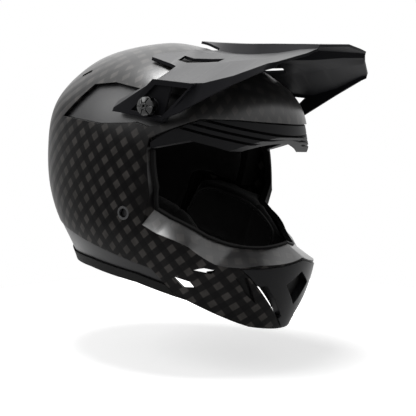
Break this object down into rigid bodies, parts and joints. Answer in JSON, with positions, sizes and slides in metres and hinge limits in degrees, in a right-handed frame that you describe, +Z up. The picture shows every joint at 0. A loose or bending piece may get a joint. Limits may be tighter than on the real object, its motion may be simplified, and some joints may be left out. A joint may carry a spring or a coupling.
{
  "type": "full face helmet",
  "caption": "Downhill full face helmet with a carbon shell, tilting faceted peak, slotted chin mask, padded head cavity and ring strap.",
  "frame": {"origin": "on the table, under the middle of the standing helmet", "axes": "+Z up, -Y the way the face looks, +X the wearer's left"},
  "size_m": [0.2536, 0.3102, 0.2806],
  "materials": {
    "carbon_shell": "satin carbon weave",
    "satin_panel": "satin",
    "visor_plastic": "matte moulded",
    "gloss_knob": "polished",
    "edge_rubber": "fine textured",
    "impact_foam": "moulded foam",
    "comfort_fabric": "brushed",
    "strap_webbing": "woven",
    "ring_steel": "brushed",
    "insert_brass": "turned",
    "vent_mesh": "fine mesh"
  },
  "bodies": {
    "shell": {"outer_shell": "carbon_shell", "impact_liner": "impact_foam", "chin_liner_left": "impact_foam", "chin_liner_right": "impact_foam", "side_panel_left": "satin_panel", "side_panel_right": "satin_panel", "brow_insert": "satin_panel", "eyeport_trim": "edge_rubber", "chin_mask": "satin_panel", "chin_filter": "vent_mesh", "intake_mesh_left": "vent_mesh", "intake_mesh_right": "vent_mesh", "base_panel": "satin_panel", "rim_trim": "edge_rubber", "crown_pad": "comfort_fabric", "brow_pad": "comfort_fabric", "cheek_pad_left": "comfort_fabric", "cheek_pad_right": "comfort_fabric", "neck_roll": "comfort_fabric", "port_grommet_left": "edge_rubber", "port_grommet_right": "edge_rubber", "visor_boss_left": "insert_brass", "visor_boss_right": "insert_brass", "chin_strap_short": "strap_webbing", "chin_strap_long": "strap_webbing", "strap_bolt_left": "ring_steel", "strap_bolt_right": "ring_steel", "strap_snap": "ring_steel"},
    "visor": {"visor": "visor_plastic"},
    "screw_left": {"visor_screw_left": "gloss_knob"},
    "screw_right": {"visor_screw_right": "gloss_knob"},
    "ring_outer": {"strap_ring_outer": "ring_steel"},
    "ring_inner": {"strap_ring_inner": "ring_steel"}
  },
  "joints": [
    {"name": "visor_tilt", "type": "hinge", "parent": "shell", "child": "visor", "pos_m": [0, -0.01495, 0.18007], "axis": [1, 0, 0], "range_deg": [0, 12]},
    {"name": "visor_screw_left_turn", "type": "hinge", "parent": "shell", "child": "screw_left", "pos_m": [0, -0.01495, 0.18007], "axis": [1, 0, 0], "range_deg": [0, 180]},
    {"name": "visor_screw_right_turn", "type": "hinge", "parent": "shell", "child": "screw_right", "pos_m": [0, -0.01495, 0.18007], "axis": [-1, 0, 0], "range_deg": [0, 180]},
    {"name": "strap_ring_outer_swing", "type": "hinge", "parent": "shell", "child": "ring_outer", "pos_m": [-0.04467, -0.01587, 0.02785], "axis": [0, -1, 0], "range_deg": [0, 60]},
    {"name": "strap_ring_inner_swing", "type": "hinge", "parent": "shell", "child": "ring_inner", "pos_m": [-0.04927, -0.01587, 0.02785], "axis": [0, 1, 0], "range_deg": [0, 60]}
  ]
}
